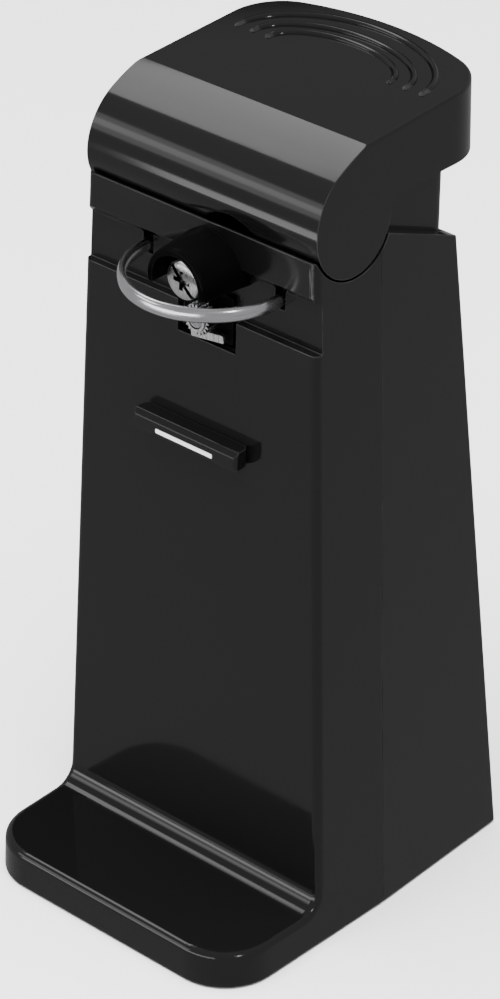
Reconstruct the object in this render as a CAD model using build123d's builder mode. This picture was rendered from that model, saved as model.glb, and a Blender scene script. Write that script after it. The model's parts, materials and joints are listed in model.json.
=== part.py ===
from build123d import *
import os
from math import atan2, cos, pi, radians, sin, sqrt, tan

os.makedirs("parts", exist_ok=True)

# ---------------------------------------------------------------- frame
# +Z up, front of the opener towards -Y, origin under the middle of its footprint.

# casing
PAD_DROP = 0.8  # the rubber feet stand this far below the casing
BASE_HALF_WIDTH = 49.5  # at the seam, at the bottom
SIDE_TAPER = 0.0408  # half width lost per mm of height
DRAFT_FRONT = 0.0258  # half width lost per mm forward of the seam
DRAFT_REAR = 0.0281  # half width lost per mm behind the seam
SEAM_Y = 5.45
SEAM_GAP = 0.3
WALL = 2.2
FOOT_FRONT = -58.8
FOOT_TOP = 11.8
FOOT_CORNER = 17.0
FOOT_FILLET = 6.0
FRONT_Y0 = -21.96  # front panel at z = 0
FRONT_LEAN = 0.0109  # the panel leans back per mm of height
REAR_Y0 = 58.78
REAR_LEAN = 0.1046
EDGE_RADIUS = 2.2
LEDGE_Z = 184.8
CHANNEL_DEPTH = 2.5
CHANNEL_TOP_Z = 198.6
BAND_Z = 201.2
BAND_TOP_Z = 211.2
REAR_TOP = ((12.2, 208.8), (34.2, 200.0))  # the sloping top of the rear casing
REAR_CORNER = (36.9, 198.2)

# lever
PIVOT_Y = -4.79
PIVOT_Z = 217.4
NOSE_R = 14.72
CRADLE_GAP = 0.7
LEVER_WALL = 1.8
LEVER_UNDER_Z = 219.9
LEVER_REAR_Y = 57.5
LEVER_SPREAD = 0.95  # the lever's flat sides stand this far outside the drafted block, flush with the casing
LEVER_CORNER = 17.0
LEVER_TRAVEL = 22.0  # degrees
PIN_R = 2.5
RUN = 0.05  # radial running clearance

# cutter group
CUT_X = 3.65
CUT_Z = 197.9
ARBOR_R = 2.0
BLADE_R = 6.0
FEED_Z = 184.2
FEED_R = 4.4
CRANK_R = 11.0
CRANK_PIN_R = 1.4
SLIDE_TRAVEL = 2 * CRANK_R * sin(radians(LEVER_TRAVEL / 2))

# gear train, all axes along Y at x = CUT_X
PRESSURE_ANGLE = 25.0
FINE_MODULE = 0.6
COARSE_MODULE = 0.8
DRIVE_TEETH = 36
PINION_TEETH = 10
SECOND_TEETH = 40
LAY_TEETH = 12
FIRST_TEETH = 36
SECOND_Z = FEED_Z - COARSE_MODULE * (DRIVE_TEETH + PINION_TEETH) / 2
FIRST_Z = SECOND_Z - FINE_MODULE * (SECOND_TEETH + LAY_TEETH) / 2
MOTOR_Z = FIRST_Z - FINE_MODULE * (FIRST_TEETH + PINION_TEETH) / 2
FRONT_PLATE_Y = -12.0
REAR_PLATE_Y = 17.5
PLATE_T = 1.5

# lid bail
BAIL_X = 3.1
BAIL_Z = 195.4
BAIL_R = 23.3
BAIL_T = 2.4
BAIL_H = 4.2
BAIL_PIVOT_Y = -12.9

# casing details
SEAM_FRONT = SEAM_Y - SEAM_GAP / 2
SEAM_REAR = SEAM_Y + SEAM_GAP / 2
BOSS_XZ = [(-36.0, 40.0), (36.0, 40.0), (-34.0, 150.0), (34.0, 150.0)]
BASE_BOSS_XY = [(-43.0, -12.0), (43.0, -12.0), (-43.0, 35.0), (43.0, 35.0)]
BASE_PLATE_TOP = 3.8
BOSS_R = 3.6
SCREW_R = 1.5
SCREW_HOLE_R = 1.7

# cutter channel, and the slots through it
TROUGH_WALL = 2.0
SLOT_HALF = 4.6
BAR_SLOT = ((-1.6, 1.6, 190.0), (8.9, 10.4, 216.0))
BAIL_LEGS = [BAIL_X - BAIL_R, BAIL_X + BAIL_R]
BAIL_SLOT_HALF = 1.8
EAR_PITCH = 2.9
EAR_T = 2.0
BAIL_PIN_R = 1.25
FEED_HOLE_R = 4.0

# notch round the feed wheel
NOTCH_X = (-7.1, 13.6)
NOTCH_Z = 175.6

# rear casing
REAR_EDGE_RADIUS = 1.2
SCREW_HEAD_R = 2.8
SCREW_SINK = 4.0

# neck, and the switch in it
NECK_X = 37.0
NECK_FRONT_Y = 11.0
NECK_REAR_Y = 36.9
NECK_FOOT_Z = 194.0
NECK_TOP_Z = 219.0
NECK_CORNER = 4.0
NECK_EDGE = 2.0
NECK_EAR_X = 30.0
NECK_EAR_T = 4.0
SWITCH_X = -15.0
SWITCH_Y = 26.0
PLUNGER_R = 2.5
PLUNGER_TOP_Z = 227.2

# cord inlet and vents
INLET_X = 0.0
INLET_Z = 16.0
INLET_R = 5.0
CORD_R = 3.0
VENT_ROWS = 5
VENT_Z = 60.0
VENT_PITCH = 5.0
VENT_H = 2.0
VENT_HALF = 20.0

# base plate and rubber feet
BASE_PLATE_Z = 1.8
BASE_REAR_X = 45.4
PAD_XY = [(-34.0, -44.0), (34.0, -44.0), (-34.0, 46.0), (34.0, 46.0)]
PAD_R = 6.5

# can rest
REST_X = 0.6
REST_HALF = 18.6
REST_DEPTH = 5.6
REST_Z = 144.4
REST_H = 5.4
INLAY_HALF = 10.2
INLAY_Z = 145.4
INLAY_H = 1.2

# rim guide
GUIDE_X = (-3.4, 11.4)
GUIDE_Z = (176.8, 190.9)
GUIDE_T = 1.2
TAB_X = 4.2
TAB_Z = 178.1
TAB_W = 11.6
TAB_H = 2.2
TAB_REACH = 2.2
TAB_TILT = 8.0

# cutter's hood
HOOD_X = 4.0
HOOD_Z = 197.1
HOOD_BACK_R = 12.2
HOOD_FRONT_R = 9.9
HOOD_DEPTH = 16.0
HOOD_WALL = 1.7
HOOD_CUT_Z = 196.2

# lever shell
LEVER_TOP_Z = 237.93
LEVER_TOP_SLOPE = 0.055
NOSE_CREST = (0.9, 237.8)
NOSE_BROW = (-9.44, 233.53)
NOSE_SHOULDER = (-15.6, 228.5)
HOLLOW_FRONT_Y = -9.0
LEVER_CROWN_R = 88.0
LEVER_EDGE = 0.9
ARCH_X = 10.0
ARCH_Z = 203.4
ARCH_R = 12.0
BOSS_X = 33.0
PIN_HALF = 38.0
PIN_END_PLAY = 0.4
CRANK_SCREW_Y = 3.6
CRANK_SCREW_R = 1.2
CRANK_BOSS_R = 2.6
RIDGES = [(32.2, 21.5), (26.7, 15.2), (21.2, 11.0)]
RIDGE_STEPS = [(1.7, 0.35), (1.2, 0.6), (0.6, 0.75)]  # width and height of each ridge's rounded section
RIDGE_START_Y = 31.0
TOP_PLANE = Plane(
    origin=(0, RIDGE_START_Y, LEVER_TOP_Z + LEVER_TOP_SLOPE * (RIDGE_START_Y - SEAM_Y) - 0.02),
    x_dir=(1, 0, 0),
    z_dir=(0, -LEVER_TOP_SLOPE, 1),
)

# lever's crank
CHEEK_PITCH = 6.2
CHEEK_T = 1.8
CRANK_ROOF_Z = 235.0

# cutter slide, wheel and screw
BAR_HALF = 4.0
BAR_Y = (3.0, 9.0)
WEB_Z = (194.6, 198.6)
PLATE_Y = (-15.0, -12.4)
PLATE_Z = (192.6, 201.2)
PLATE_HALF = 8.0
ARBOR_BOSS_R = 3.8
ARBOR_BOSS_Y = -25.0
BLADE_Y = (-27.0, -25.4)
SCREW_DISC_R = 5.6
SCREW_DISC_Y = (-30.5, -27.3)
DRIVER_LEAN = -48.0
DRIVER_W = 1.3
DRIVER_DEPTH = 1.4
CROSS_W = 1.3
CROSS_SPAN = 5.4
BAIL_ARC_Y = -18.6

# gear teeth
ADDENDUM = 0.9
DEDENDUM = 1.2
BACKLASH = 0.1
FLANK_STEPS = 3

# shafts, gears and frame
FEED_TEETH = 20
FEED_Y = (-24.6, -21.2)
SHAFT_R = 2.5
LAY_SHAFT_R = 1.5
BUSH_R = 4.0
DRIVE_Y = (9.0, 15.0)
SECOND_Y = (1.0, 6.0)
FIRST_Y = (-7.0, -3.0)
DRIVE_HOLE_PITCH = 9.5  # radius of the circle of lightening holes in the drive gear
DRIVE_HOLE_R = 2.2
PLATE_HOLES = [(FEED_Z, BUSH_R), (SECOND_Z, LAY_SHAFT_R), (FIRST_Z, LAY_SHAFT_R)]
MOTOR_HOLE_FRONT_R = 4.0
MOTOR_HOLE_REAR_R = 5.0
FRAME_HALF = 20.5
FRAME_Z = (112.0, 189.6)
PILLAR_XZ = [(CUT_X - 17.2, 124.0), (CUT_X + 17.2, 124.0), (CUT_X - 17.2, 172.0), (CUT_X + 17.2, 172.0)]

# motor
ROTOR_R = 11.0
STATOR_HALF = 24.0
STATOR_DROP = 36.0
STATOR_RISE = 17.0
STATOR_Y = (22.0, 34.0)
WINDOW_X = (8.0, 17.0)
WINDOW_Z = (106.0, 120.0)
COIL_PROUD = 2.6
MOTOR_BOLT_XZ = [(CUT_X - 18.0, MOTOR_Z), (CUT_X + 18.0, MOTOR_Z)]
BRIDGE_Y = 36.5
MOTOR_SHAFT_R = 1.5
PANEL_WALL_Y = CHANNEL_DEPTH + WALL

REACH = 70.0  # longer than half the casing's width
TALL = 260.0


def front_y(z, depth=0.0):
    """The front panel's y at a height, moved back by a depth."""
    return FRONT_Y0 + FRONT_LEAN * z + depth


def rear_y(z, depth=0.0):
    """The rear face's y at a height, moved forward by a depth."""
    return REAR_Y0 - REAR_LEAN * (z - PAD_DROP) - depth


def half_width(y, z):
    """The casing's half width, widest at the seam and at the bottom."""
    draft = DRAFT_FRONT * (SEAM_Y - y) if y < SEAM_Y else DRAFT_REAR * (y - SEAM_Y)
    return BASE_HALF_WIDTH - SIDE_TAPER * (z - PAD_DROP) - draft


def tapered_block(y_near, y_far, inset=0.0, mode=Mode.ADD):
    """A block whose two sides are the casing's drafted sides, moved in by an inset."""
    ends = []
    for y in (y_near, y_far):
        low = half_width(y, 0) - inset
        high = half_width(y, TALL) - inset
        with BuildSketch(Plane.XZ.offset(-y)) as end:
            with BuildLine():
                Polyline((-low, 0), (low, 0), (high, TALL), (-high, TALL), close=True)
            make_face()
        ends.append(end.sketch)
    loft(ends, ruled=True, mode=mode)


def side_slab(points, mode=Mode.ADD, reach=REACH):
    """A polygon of (y, z) points, extruded across the width."""
    with BuildSketch(Plane.YZ) as outline:
        with BuildLine():
            Polyline(*points, close=True)
        make_face()
    extrude(outline.sketch, amount=reach, both=True, mode=mode)


def rod_x(y, z, radius, x_low, x_high, mode=Mode.ADD):
    """A cylinder along X between two stations."""
    with BuildSketch(Plane.YZ.offset(x_low)) as disc:
        with Locations((y, z)):
            Circle(radius)
    extrude(disc.sketch, amount=x_high - x_low, mode=mode)


def rod_y(x, z, radius, y_near, y_far, mode=Mode.ADD):
    """A cylinder along Y between two stations."""
    with BuildSketch(Plane.XZ.offset(-y_near)) as disc:
        with Locations((x, z)):
            Circle(radius)
    extrude(disc.sketch, amount=-(y_far - y_near), mode=mode)


def rod_z(x, y, radius, z_low, z_high, mode=Mode.ADD):
    """A cylinder along Z between two stations."""
    with BuildSketch(Plane.XY.offset(z_low)) as disc:
        with Locations((x, y)):
            Circle(radius)
    extrude(disc.sketch, amount=z_high - z_low, mode=mode)


def block(low, high, mode=Mode.ADD):
    """A box from its lowest to its highest corner."""
    with Locations(tuple((a + b) / 2 for a, b in zip(low, high))):
        Box(*[b - a for a, b in zip(low, high)], mode=mode)


def save(part, name):
    part.label = name
    export_step(part, f"parts/{name}.step")


def cut_cradle(extra):
    """The round trough under the lever's nose, larger than the nose by a gap."""
    rod_x(PIVOT_Y, PIVOT_Z, NOSE_R + extra, -REACH, REACH, mode=Mode.SUBTRACT)


# ---------------------------------------------------------------- front casing
def front_profile(inset):
    """Side outline of the front casing, or of its cavity."""
    low = PAD_DROP if inset == 0 else -1.0
    step_z = LEDGE_Z - 3 * WALL
    top = BAND_TOP_Z - inset
    panel = [
        (front_y(FOOT_TOP - inset, inset), FOOT_TOP - inset),
        (front_y(top, inset), top),
    ]
    if inset:
        panel[1:] = [
            (front_y(step_z, inset), step_z),
            (front_y(step_z, PANEL_WALL_Y), step_z),
            (front_y(top, PANEL_WALL_Y), top),
        ]
    seam = SEAM_FRONT if inset == 0 else SEAM_FRONT + 1.0
    toe = FOOT_FRONT + inset
    return [(seam, low), (toe, low), (toe, FOOT_TOP - inset), *panel, (seam, top)]


with BuildPart() as front_cavity:
    side_slab(front_profile(WALL))
    tapered_block(FOOT_FRONT - 1, SEAM_FRONT + 1, WALL, mode=Mode.INTERSECT)
    fillet(
        [e for e in front_cavity.edges().filter_by(Plane.YZ, reverse=True)
         if abs(e.center().Y - FOOT_FRONT - WALL) < 0.5 and abs(e.center().X) > 20
         and e.length < FOOT_TOP + 3],
        radius=FOOT_CORNER - WALL,
    )
    cut_cradle(CRADLE_GAP + TROUGH_WALL)

with BuildPart() as front_housing:
    side_slab(front_profile(0))
    tapered_block(FOOT_FRONT - 1, SEAM_FRONT + 1, mode=Mode.INTERSECT)
    fillet(
        [e for e in front_housing.edges() if abs(e.center().Y - FOOT_FRONT) < 0.5 and abs(e.center().X) > 20
         and e.center().Z > PAD_DROP + 1 and e.length < FOOT_TOP + 1],
        radius=FOOT_CORNER,
    )
    fillet(
        [e for e in front_housing.edges() if abs(e.center().Z - FOOT_TOP) < 0.3
         and abs(e.center().Y - front_y(FOOT_TOP)) < 0.3 and abs(e.center().X) < 1],
        radius=FOOT_FILLET,
    )
    fillet(
        [e for e in front_housing.edges() if e.center().Z > FOOT_TOP - 0.2 and e.center().Z < BAND_TOP_Z - 0.5
         and e.center().Y < SEAM_FRONT - 1 and (abs(e.center().X) > 5 or e.center().Y < FOOT_FRONT + 1)],
        radius=EDGE_RADIUS,
    )
    add(front_cavity.part, mode=Mode.SUBTRACT)
    side_slab(
        [
            (front_y(LEDGE_Z) - 20, LEDGE_Z),
            (front_y(LEDGE_Z, CHANNEL_DEPTH), LEDGE_Z),
            (front_y(CHANNEL_TOP_Z, CHANNEL_DEPTH), CHANNEL_TOP_Z),
            (front_y(BAND_Z), BAND_Z),
            (front_y(BAND_Z) - 20, BAND_Z),
        ],
        mode=Mode.SUBTRACT,
    )
    cut_cradle(CRADLE_GAP)
    # bosses behind the panel for the casing screws, and beside it for the base plate
    for x, z in BOSS_XZ:
        rod_y(x, z, BOSS_R, front_y(z, 1.0), SEAM_FRONT)
        rod_y(x, z, SCREW_HOLE_R, SEAM_FRONT - 14, SEAM_FRONT + 1, mode=Mode.SUBTRACT)
    for x, y in BASE_BOSS_XY[:2]:
        rod_z(x, y, BOSS_R, BASE_PLATE_TOP, 16)
        rod_z(x, y, SCREW_HOLE_R, 0, 14, mode=Mode.SUBTRACT)
    # ears that carry the bail's pivots, and the slot for each of its legs
    for x in BAIL_LEGS:
        for ear_x in (x - EAR_PITCH, x + EAR_PITCH):
            block(
                (ear_x - EAR_T / 2, front_y(BAIL_Z, CHANNEL_DEPTH + 1), BAIL_Z - 3),
                (ear_x + EAR_T / 2, BAIL_PIVOT_Y + 2.4, BAIL_Z + 3),
            )
        rod_x(BAIL_PIVOT_Y, BAIL_Z, BAIL_PIN_R, x - EAR_PITCH - 2, x + EAR_PITCH + 2, mode=Mode.SUBTRACT)
        block(
            (x - BAIL_SLOT_HALF, FRONT_Y0 - 2, BAIL_Z - 2.5),
            (x + BAIL_SLOT_HALF, BAIL_PIVOT_Y + 3, BAIL_Z + 5.4),
            mode=Mode.SUBTRACT,
        )
    # slot for the cutter's arbor, bore for the feed shaft and notch for the rim guide
    block(
        (CUT_X - SLOT_HALF, FRONT_Y0 - 2, CUT_Z - SLOT_HALF - SLIDE_TRAVEL),
        (CUT_X + SLOT_HALF, FRONT_PLATE_Y, CUT_Z + SLOT_HALF),
        mode=Mode.SUBTRACT,
    )
    rod_y(CUT_X, FEED_Z, FEED_HOLE_R, FRONT_Y0 - 2, FRONT_PLATE_Y, mode=Mode.SUBTRACT)
    block(
        (NOTCH_X[0], FRONT_Y0 - 2, NOTCH_Z),
        (NOTCH_X[1], front_y(LEDGE_Z, CHANNEL_DEPTH), LEDGE_Z + 1),
        mode=Mode.SUBTRACT,
    )
    # way through the trough for the cutter slide's bar
    block(*BAR_SLOT, mode=Mode.SUBTRACT)
save(front_housing.part, "front_housing")


# ---------------------------------------------------------------- rear casing
def rear_profile(inset):
    """Side outline of the rear casing, or of its cavity."""
    low = PAD_DROP if inset == 0 else -1.0
    start = SEAM_REAR if inset == 0 else SEAM_REAR - 1.0
    (top_y, top_z), (end_y, end_z) = REAR_TOP
    slope = (end_z - top_z) / (end_y - top_y)
    drop = inset * sqrt(1 + slope**2)
    corner_z = REAR_CORNER[1]
    return [
        (start, low),
        (rear_y(low, inset), low),
        (rear_y(corner_z, inset), corner_z - inset),
        (end_y - inset / 2, end_z - drop + slope * (-inset / 2)),
        (top_y, top_z - drop),
        (start, top_z + slope * (start - top_y) - drop),
    ]


with BuildPart() as rear_cavity:
    side_slab(rear_profile(WALL))
    tapered_block(SEAM_REAR - 1, rear_y(0) + 1, WALL, mode=Mode.INTERSECT)
    cut_cradle(CRADLE_GAP + TROUGH_WALL)

with BuildPart() as rear_housing:
    side_slab(rear_profile(0))
    tapered_block(SEAM_REAR - 1, rear_y(0) + 1, mode=Mode.INTERSECT)
    fillet(
        [e for e in rear_housing.edges()
         if e.center().Y > 36 and 20 < e.center().Z < 190 and abs(e.center().X) > 20],
        radius=REAR_EDGE_RADIUS,
    )
    add(rear_cavity.part, mode=Mode.SUBTRACT)
    cut_cradle(CRADLE_GAP)
    for x, z in BOSS_XZ:
        rod_y(x, z, BOSS_R, SEAM_REAR, rear_y(z, 1.0))
        rod_y(x, z, SCREW_HOLE_R, SEAM_REAR - 1, rear_y(z) + 2, mode=Mode.SUBTRACT)
        rod_y(x, z, SCREW_HEAD_R + 0.2, rear_y(z) - SCREW_SINK, rear_y(z) + 3, mode=Mode.SUBTRACT)
    for x, y in BASE_BOSS_XY[2:]:
        rod_z(x, y, BOSS_R, BASE_PLATE_TOP, 16)
        rod_z(x, y, SCREW_HOLE_R, 0, 14, mode=Mode.SUBTRACT)
    # opening that the neck rises through, way for the slide's bar, and the cord's inlet
    block(
        (-NECK_X - 0.1, NECK_FRONT_Y - 0.1, NECK_FOOT_Z),
        (NECK_X + 0.1, NECK_REAR_Y + 0.1, TALL),
        mode=Mode.SUBTRACT,
    )
    block(*BAR_SLOT, mode=Mode.SUBTRACT)
    rod_y(INLET_X, INLET_Z, INLET_R, rear_y(INLET_Z) - 8, rear_y(INLET_Z) + 2, mode=Mode.SUBTRACT)
    # cooling slots low in the back
    for row in range(VENT_ROWS):
        vent_z = VENT_Z + row * VENT_PITCH
        block(
            (-VENT_HALF, rear_y(vent_z) - 6, vent_z),
            (VENT_HALF, rear_y(vent_z) + 2, vent_z + VENT_H),
            mode=Mode.SUBTRACT,
        )
save(rear_housing.part, "rear_housing")

# ---------------------------------------------------------------- neck that carries the lever
with BuildPart() as neck_frame:
    block((-NECK_X, NECK_FRONT_Y, NECK_FOOT_Z), (NECK_X, NECK_REAR_Y, NECK_TOP_Z))
    fillet(
        [e for e in neck_frame.edges().filter_by(Axis.Z) if e.center().Y > 20],
        radius=NECK_CORNER,
    )
    fillet(neck_frame.faces().sort_by(Axis.Z)[-1].edges(), radius=NECK_EDGE)
    block(
        (-NECK_X + WALL, NECK_FRONT_Y + WALL, NECK_FOOT_Z - 1),
        (NECK_X - WALL, NECK_REAR_Y - WALL, NECK_TOP_Z - WALL),
        mode=Mode.SUBTRACT,
    )
    # clearance over the drive gear
    block(
        (CUT_X - 17, NECK_FRONT_Y - 1, NECK_FOOT_Z - 1),
        (CUT_X + 17, NECK_FRONT_Y + WALL + 1, NECK_FOOT_Z + 6.5),
        mode=Mode.SUBTRACT,
    )
    # ears forward to the lever's pin
    for ear_x in (-NECK_EAR_X, NECK_EAR_X):
        low_x = ear_x - NECK_EAR_T / 2
        high_x = ear_x + NECK_EAR_T / 2
        block((low_x, PIVOT_Y, PIVOT_Z - 6), (high_x, NECK_FRONT_Y + 1, PIVOT_Z - 0.5))
        rod_x(PIVOT_Y, PIVOT_Z, 6.5, low_x, high_x)
        rod_x(PIVOT_Y, PIVOT_Z, PIN_R, low_x - 1, high_x + 1, mode=Mode.SUBTRACT)
    # hole for the switch plunger
    rod_z(SWITCH_X, SWITCH_Y, PLUNGER_R + 0.08, NECK_TOP_Z - 6, NECK_TOP_Z + 1, mode=Mode.SUBTRACT)
save(neck_frame.part, "neck_frame")

# ---------------------------------------------------------------- base
with BuildPart() as base_plate:
    side_slab([
        (FOOT_FRONT + WALL + 0.3, BASE_PLATE_Z),
        (rear_y(BASE_PLATE_Z, WALL + 0.3), BASE_PLATE_Z),
        (rear_y(BASE_PLATE_TOP, WALL + 0.3), BASE_PLATE_TOP),
        (FOOT_FRONT + WALL + 0.3, BASE_PLATE_TOP),
    ])
    tapered_block(FOOT_FRONT - 1, SEAM_Y, WALL + 0.3, mode=Mode.INTERSECT)
    fillet(
        [e for e in base_plate.edges() if e.length < 4 and e.center().Y < FOOT_FRONT + 5],
        radius=FOOT_CORNER - WALL,
    )
    block(
        (-BASE_REAR_X, SEAM_Y - 0.5, BASE_PLATE_Z),
        (BASE_REAR_X, rear_y(BASE_PLATE_TOP, WALL + 0.3), BASE_PLATE_TOP),
    )
    for x, y in BASE_BOSS_XY:
        rod_z(x, y, SCREW_HOLE_R, 0, 5, mode=Mode.SUBTRACT)
        rod_z(x, y, SCREW_HEAD_R + 0.2, 0, BASE_PLATE_Z + 1.1, mode=Mode.SUBTRACT)
save(base_plate.part, "base_plate")

with BuildPart() as rubber_feet:
    for x, y in PAD_XY:
        rod_z(x, y, PAD_R, 0, BASE_PLATE_Z)
    fillet([e for e in rubber_feet.edges().filter_by(GeomType.CIRCLE) if e.center().Z < 0.1], radius=0.5)
save(rubber_feet.part, "rubber_feet")

with BuildPart() as base_screws:
    for x, y in BASE_BOSS_XY:
        rod_z(x, y, SCREW_HEAD_R, BASE_PLATE_Z, BASE_PLATE_Z + 1.1)
        rod_z(x, y, SCREW_R, BASE_PLATE_Z + 1.1, 13)
save(base_screws.part, "base_screws")

with BuildPart() as housing_screws:
    for x, z in BOSS_XZ:
        head_y = rear_y(z) - SCREW_SINK
        rod_y(x, z, SCREW_HEAD_R, head_y, head_y + 2)
        rod_y(x, z, SCREW_R, SEAM_FRONT - 12, head_y)
save(housing_screws.part, "housing_screws")

with BuildPart() as cord_grommet:
    face_y = rear_y(INLET_Z)
    rod_y(INLET_X, INLET_Z, INLET_R - 0.1, face_y - 5, face_y + 1)
    rod_y(INLET_X, INLET_Z, INLET_R + 1.6, face_y - 5.2, face_y - 3.2)
    rod_y(INLET_X, INLET_Z, CORD_R, face_y - 6, face_y + 2, mode=Mode.SUBTRACT)
    side_slab([(face_y - 8, 0), (face_y - 0.4, 0), (face_y - 0.4, 40), (face_y - 8, 40)], mode=Mode.INTERSECT)
save(cord_grommet.part, "cord_grommet")

# ---------------------------------------------------------------- can rest and rim guide
with BuildPart() as can_rest:
    back = front_y(REST_Z, -0.02)
    with BuildSketch(Plane.XY.offset(REST_Z)):
        with BuildLine():
            Polyline(
                (REST_X - REST_HALF + 1.2, back),
                (REST_X - REST_HALF, back - 1.5),
                (REST_X - REST_HALF, back - REST_DEPTH + 0.8),
                (REST_X - REST_HALF + 0.8, back - REST_DEPTH),
                (REST_X + REST_HALF - 0.8, back - REST_DEPTH),
                (REST_X + REST_HALF, back - REST_DEPTH + 0.8),
                (REST_X + REST_HALF, back - 1.5),
                (REST_X + REST_HALF - 1.2, back),
                close=True,
            )
        make_face()
    extrude(amount=REST_H)
    chamfer(can_rest.faces().sort_by(Axis.Z)[-1].edges().sort_by(Axis.Y)[0], length=1.4)
    fillet(
        [e for e in can_rest.edges() if e.center().Y < back - 1 and abs(e.center().X - REST_X) < 1],
        radius=0.4,
    )
    block(
        (REST_X - INLAY_HALF, back - REST_DEPTH - 1, INLAY_Z),
        (REST_X + INLAY_HALF, back - REST_DEPTH + 0.8, INLAY_Z + INLAY_H),
        mode=Mode.SUBTRACT,
    )
save(can_rest.part, "can_rest")

with BuildPart() as can_rest_inlay:
    block(
        (REST_X - INLAY_HALF, back - REST_DEPTH - 0.15, INLAY_Z),
        (REST_X + INLAY_HALF, back - REST_DEPTH + 0.8, INLAY_Z + INLAY_H),
    )
    fillet(can_rest_inlay.edges().filter_by(Axis.Y), radius=0.3)
save(can_rest_inlay.part, "can_rest_inlay")

with BuildPart() as rim_guide:
    guide_back = front_y(LEDGE_Z, CHANNEL_DEPTH) - 0.05
    block((GUIDE_X[0], guide_back - GUIDE_T, GUIDE_Z[0]), (GUIDE_X[1], guide_back, GUIDE_Z[1]))
    fillet(rim_guide.edges().filter_by(Axis.Y), radius=0.6)
    # room for the slide's boss at the bottom of its travel
    rod_y(CUT_X, CUT_Z - SLIDE_TRAVEL, ARBOR_BOSS_R + 0.5, guide_back - 4, guide_back + 1, mode=Mode.SUBTRACT)
    rod_y(CUT_X, FEED_Z, FEED_HOLE_R, guide_back - 4, guide_back + 1, mode=Mode.SUBTRACT)
save(rim_guide.part, "rim_guide")

with BuildPart() as guide_tab:
    with BuildSketch(Plane.XZ.offset(GUIDE_T - guide_back)) as tab_face:
        with Locations((TAB_X, TAB_Z)):
            Rectangle(TAB_W, TAB_H, rotation=TAB_TILT)
    extrude(tab_face.sketch, amount=TAB_REACH)
    fillet(guide_tab.edges().filter_by(Axis.Y), radius=0.4)
save(guide_tab.part, "guide_tab")

# ---------------------------------------------------------------- hood over the cutter
with BuildPart() as cutter_hood:
    hood_back = front_y(HOOD_Z, CHANNEL_DEPTH) - 0.05
    with BuildSketch(Plane.XZ.offset(-hood_back)):
        with Locations((HOOD_X, HOOD_Z)):
            Circle(HOOD_BACK_R)
    with BuildSketch(Plane.XZ.offset(-(hood_back - HOOD_DEPTH))):
        with Locations((HOOD_X, HOOD_Z + 1.2)):
            Circle(HOOD_FRONT_R)
    loft()
    fillet(cutter_hood.faces().sort_by(Axis.Y)[0].edges(), radius=0.8)
    # hollow inside, and cut off flat below
    hood_front = hood_back - HOOD_DEPTH - 1
    rod_y(HOOD_X, HOOD_Z + 0.8, HOOD_FRONT_R - HOOD_WALL, hood_front, hood_back - 3, mode=Mode.SUBTRACT)
    block(
        (CUT_X - SLOT_HALF, hood_back - 5, HOOD_CUT_Z - 4),
        (CUT_X + SLOT_HALF, hood_back + 1, CUT_Z + SLOT_HALF),
        mode=Mode.SUBTRACT,
    )
    block(
        (HOOD_X - 20, hood_back - HOOD_DEPTH - 1, HOOD_CUT_Z - 20),
        (HOOD_X + 20, hood_back + 1, HOOD_CUT_Z),
        mode=Mode.SUBTRACT,
    )
    # stay clear of the band above the channel
    side_slab(
        [
            (front_y(CHANNEL_TOP_Z, CHANNEL_DEPTH), CHANNEL_TOP_Z - 0.15),
            (front_y(BAND_Z) - 0.05, BAND_Z),
            (front_y(BAND_Z) - 0.05, BAND_TOP_Z + 9),
            (front_y(BAND_Z) + 9, BAND_TOP_Z + 9),
            (front_y(BAND_Z) + 9, CHANNEL_TOP_Z - 0.15),
        ],
        mode=Mode.SUBTRACT,
    )
save(cutter_hood.part, "cutter_hood")


# ---------------------------------------------------------------- lever
def lever_slab(inset, mode=Mode.ADD):
    """The lever's side outline, or its hollow's, extruded across the width."""
    radius = NOSE_R - inset
    front = (PIVOT_Y - radius, PIVOT_Z + 1.0)
    brow = (NOSE_BROW[0] + inset * 0.35, NOSE_BROW[1] - inset)
    crest = (NOSE_CREST[0] + inset * 0.2, NOSE_CREST[1] - inset)
    crest_mid = ((crest[0] + brow[0]) / 2, (crest[1] + brow[1]) / 2 + 0.35)
    shoulder = (NOSE_SHOULDER[0] + inset * 0.8, NOSE_SHOULDER[1] - inset * 0.7)
    rear = LEVER_REAR_Y - inset
    rear_top = LEVER_TOP_Z + LEVER_TOP_SLOPE * (rear - SEAM_Y) - inset
    heel = (PIVOT_Y + radius, PIVOT_Z - 0.4)
    with BuildSketch(Plane.YZ) as outline:
        with BuildLine():
            ThreePointArc(front, (PIVOT_Y, PIVOT_Z - radius), heel)
            ThreePointArc(heel, (heel[0] + 1.7, heel[1] + 2.1), (heel[0] + 4.0, LEVER_UNDER_Z))
            Polyline((heel[0] + 4.0, LEVER_UNDER_Z), (rear, LEVER_UNDER_Z), (rear, rear_top), crest)
            ThreePointArc(crest, crest_mid, brow)
            ThreePointArc(brow, shoulder, front)
        make_face()
    extrude(outline.sketch, amount=REACH, both=True, mode=mode)


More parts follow.
